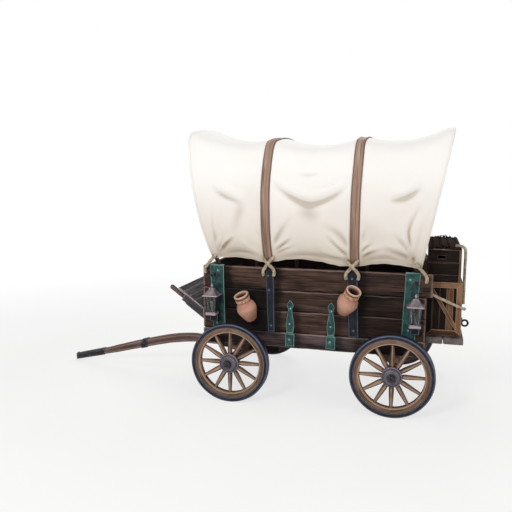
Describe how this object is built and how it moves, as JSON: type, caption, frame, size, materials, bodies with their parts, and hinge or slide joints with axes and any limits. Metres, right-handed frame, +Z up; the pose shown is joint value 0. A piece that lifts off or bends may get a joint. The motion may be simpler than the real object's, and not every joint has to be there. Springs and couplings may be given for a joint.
{
  "type": "covered wagon",
  "caption": "Light covered wagon: plank box on spoked wooden wheels, bowed canvas bonnet, drawing pole, footboard, rear crates, hung lanterns and clay jugs.",
  "frame": {"origin": "on the ground, at the middle of the whole length and width", "axes": "+X forward along the drawing pole, +Y to the wagon's left, +Z up"},
  "size_m": [5.094, 2.172, 3.0848],
  "materials": {
    "dark_timber": "weathered",
    "pale_timber": "worn",
    "band_leather": "worn",
    "tongue_timber": "worn",
    "canvas": "woven",
    "rope": "twisted",
    "green_iron": "worn paint",
    "blue_iron": "worn paint",
    "dark_iron": "forged",
    "lantern_metal": "worn",
    "glass": "clear",
    "wax": "satin, stands in for wax",
    "terracotta": "unglazed",
    "tyre_iron": "forged",
    "wheel_timber": "worn",
    "hub_iron": "forged"
  },
  "bodies": {
    "wagon": {"bows": "pale_timber", "candles": "wax", "canvas_cover": "canvas", "canvas_ties": "rope", "corner_irons": "green_iron", "cover_bands": "band_leather", "crate_lid_slats": "dark_timber", "floor_boards": "dark_timber", "footboard": "dark_timber", "footboard_cheeks": "dark_timber", "footboard_rails": "pale_timber", "front_bolster": "dark_timber", "front_wall": "dark_timber", "jug_hangers": "rope", "jugs": "terracotta", "kingpin": "dark_iron", "lance_irons": "green_iron", "lantern_frames": "lantern_metal", "lantern_glass": "glass", "lashing_rope": "rope", "left_planks": "dark_timber", "left_sill": "dark_timber", "lower_crate_box": "pale_timber", "lower_crate_frame": "pale_timber", "platform_knees": "dark_timber", "reach_pole": "dark_timber", "rear_axle_arms": "dark_iron", "rear_axle_beam": "dark_timber", "rear_bolster": "dark_timber", "rear_platform": "dark_timber", "rear_wall": "dark_timber", "right_planks": "dark_timber", "right_sill": "dark_timber", "strap_irons": "blue_iron", "tie_ring": "dark_iron", "upper_crate": "dark_timber"},
    "front_gear": {"front_axle_beam": "dark_timber", "front_axle_arms": "dark_iron", "turning_plate": "dark_iron", "hounds": "dark_timber", "tongue_pin": "dark_iron"},
    "tongue": {"tongue_pole": "tongue_timber", "tongue_cap": "dark_iron", "tongue_band": "dark_iron"},
    "front_left_wheel": {"front_left_tyre": "tyre_iron", "front_left_spoked_wheel": "wheel_timber", "front_left_hub": "hub_iron"},
    "front_right_wheel": {"front_right_tyre": "tyre_iron", "front_right_spoked_wheel": "wheel_timber", "front_right_hub": "hub_iron"},
    "rear_left_wheel": {"rear_left_tyre": "tyre_iron", "rear_left_spoked_wheel": "wheel_timber", "rear_left_hub": "hub_iron"},
    "rear_right_wheel": {"rear_right_tyre": "tyre_iron", "rear_right_spoked_wheel": "wheel_timber", "rear_right_hub": "hub_iron"}
  },
  "joints": [
    {"name": "steering", "type": "hinge", "parent": "wagon", "child": "front_gear", "pos_m": [0.023, 0, 0.45], "axis": [0, 0, 1], "range_deg": [-12, 12]},
    {"name": "tongue_lift", "type": "hinge", "parent": "front_gear", "child": "tongue", "pos_m": [0.342, 0, 0.405], "axis": [0, -1, 0], "range_deg": [0, 35]},
    {"name": "front_left_turn", "type": "hinge", "parent": "front_gear", "child": "front_left_wheel", "pos_m": [0.023, 0.962, 0.45], "axis": [0, 1, 0], "continuous": true},
    {"name": "front_right_turn", "type": "hinge", "parent": "front_gear", "child": "front_right_wheel", "pos_m": [0.023, -0.962, 0.45], "axis": [0, 1, 0], "continuous": true},
    {"name": "rear_left_turn", "type": "hinge", "parent": "wagon", "child": "rear_left_wheel", "pos_m": [-1.769, 0.962, 0.45], "axis": [0, 1, 0], "continuous": true},
    {"name": "rear_right_turn", "type": "hinge", "parent": "wagon", "child": "rear_right_wheel", "pos_m": [-1.769, -0.962, 0.45], "axis": [0, 1, 0], "continuous": true}
  ]
}
